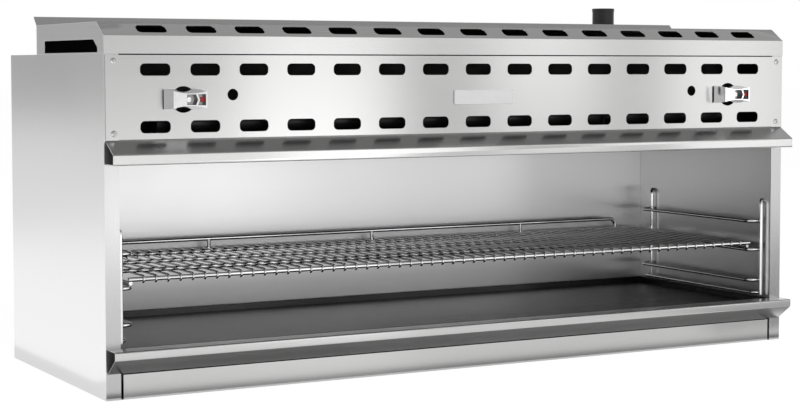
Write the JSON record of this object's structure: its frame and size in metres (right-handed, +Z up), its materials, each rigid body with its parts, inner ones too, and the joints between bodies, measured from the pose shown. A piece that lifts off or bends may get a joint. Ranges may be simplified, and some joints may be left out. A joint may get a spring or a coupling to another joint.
{
  "type": "cheese melter",
  "caption": "Open-fronted stainless gas cheese melter with twin infra-red burners, lever valves, wire rack on slide guides, spill pan and vented control panel.",
  "frame": {"origin": "middle of the bounding box on the floor plane", "axes": "+X to the operator's right, +Y from the front to the back, +Z up"},
  "size_m": [1.219, 0.473, 0.579],
  "materials": {
    "steel": "satin",
    "bright_steel": "bright",
    "heat_steel": "heat-darkened",
    "badge": "satin",
    "plated": "zinc-plated",
    "chrome": "polished",
    "aluminium": "satin",
    "regulator": "as cast",
    "iron": "matte",
    "black_pipe": "black",
    "brass": "machined",
    "ceramic": "matte",
    "wool": "matte",
    "red_plastic": "gloss"
  },
  "bodies": {
    "cabinet": {"base_pan": "steel", "left_side_panel": "steel", "right_side_panel": "steel", "rear_panel": "steel", "top_deck": "steel", "left_liner": "steel", "right_liner": "steel", "rear_liner": "steel", "ceiling_panel": "steel", "side_insulation": "wool", "rear_insulation": "wool", "kick_panel": "steel", "control_panel": "steel", "upper_visor": "bright_steel", "badge_plate": "badge", "sheet_screws": "plated", "hood_cover": "steel", "left_hood_end": "steel", "right_hood_end": "steel", "heat_shield": "steel", "left_burner_body": "iron", "right_burner_body": "iron", "left_burner_tiles": "ceramic", "right_burner_tiles": "ceramic", "left_burner_screen": "heat_steel", "right_burner_screen": "heat_steel", "left_mixing_tube": "iron", "right_mixing_tube": "iron", "left_air_shutter": "heat_steel", "right_air_shutter": "heat_steel", "left_orifice": "brass", "right_orifice": "brass", "left_gas_valve": "brass", "right_gas_valve": "brass", "gas_manifold": "black_pipe", "manifold_caps": "black_pipe", "manifold_brackets": "steel", "gas_inlet_coupling": "black_pipe", "supply_pipes": "black_pipe", "pipe_elbows": "black_pipe", "pressure_regulator": "regulator", "pilot_valves": "brass", "pilot_tubes": "aluminium", "pilot_burners": "heat_steel", "pan_rails": "steel", "left_rack_guide": "chrome", "right_rack_guide": "chrome"},
    "rack": {"rack_frame": "chrome", "rack_wires": "chrome"},
    "pan": {"spill_pan": "heat_steel", "pan_bullnose": "bright_steel"},
    "left_valve": {"left_valve_stem": "brass", "left_lever": "chrome", "left_lever_insert": "red_plastic", "left_lever_screw": "plated"},
    "right_valve": {"right_valve_stem": "brass", "right_lever": "chrome", "right_lever_insert": "red_plastic", "right_lever_screw": "plated"}
  },
  "joints": [
    {"name": "rack_slide", "type": "slide", "parent": "cabinet", "child": "rack", "axis": [0, -1, 0], "range_m": [0, 0.3]},
    {"name": "pan_slide", "type": "slide", "parent": "cabinet", "child": "pan", "axis": [0, -1, 0], "range_m": [0, 0.33]},
    {"name": "left_valve_turn", "type": "hinge", "parent": "cabinet", "child": "left_valve", "pos_m": [-0.491, -0.2165, 0.424], "axis": [0, -1, 0], "range_deg": [0, 90]},
    {"name": "right_valve_turn", "type": "hinge", "parent": "cabinet", "child": "right_valve", "pos_m": [0.491, -0.2165, 0.424], "axis": [0, -1, 0], "range_deg": [0, 90]}
  ]
}
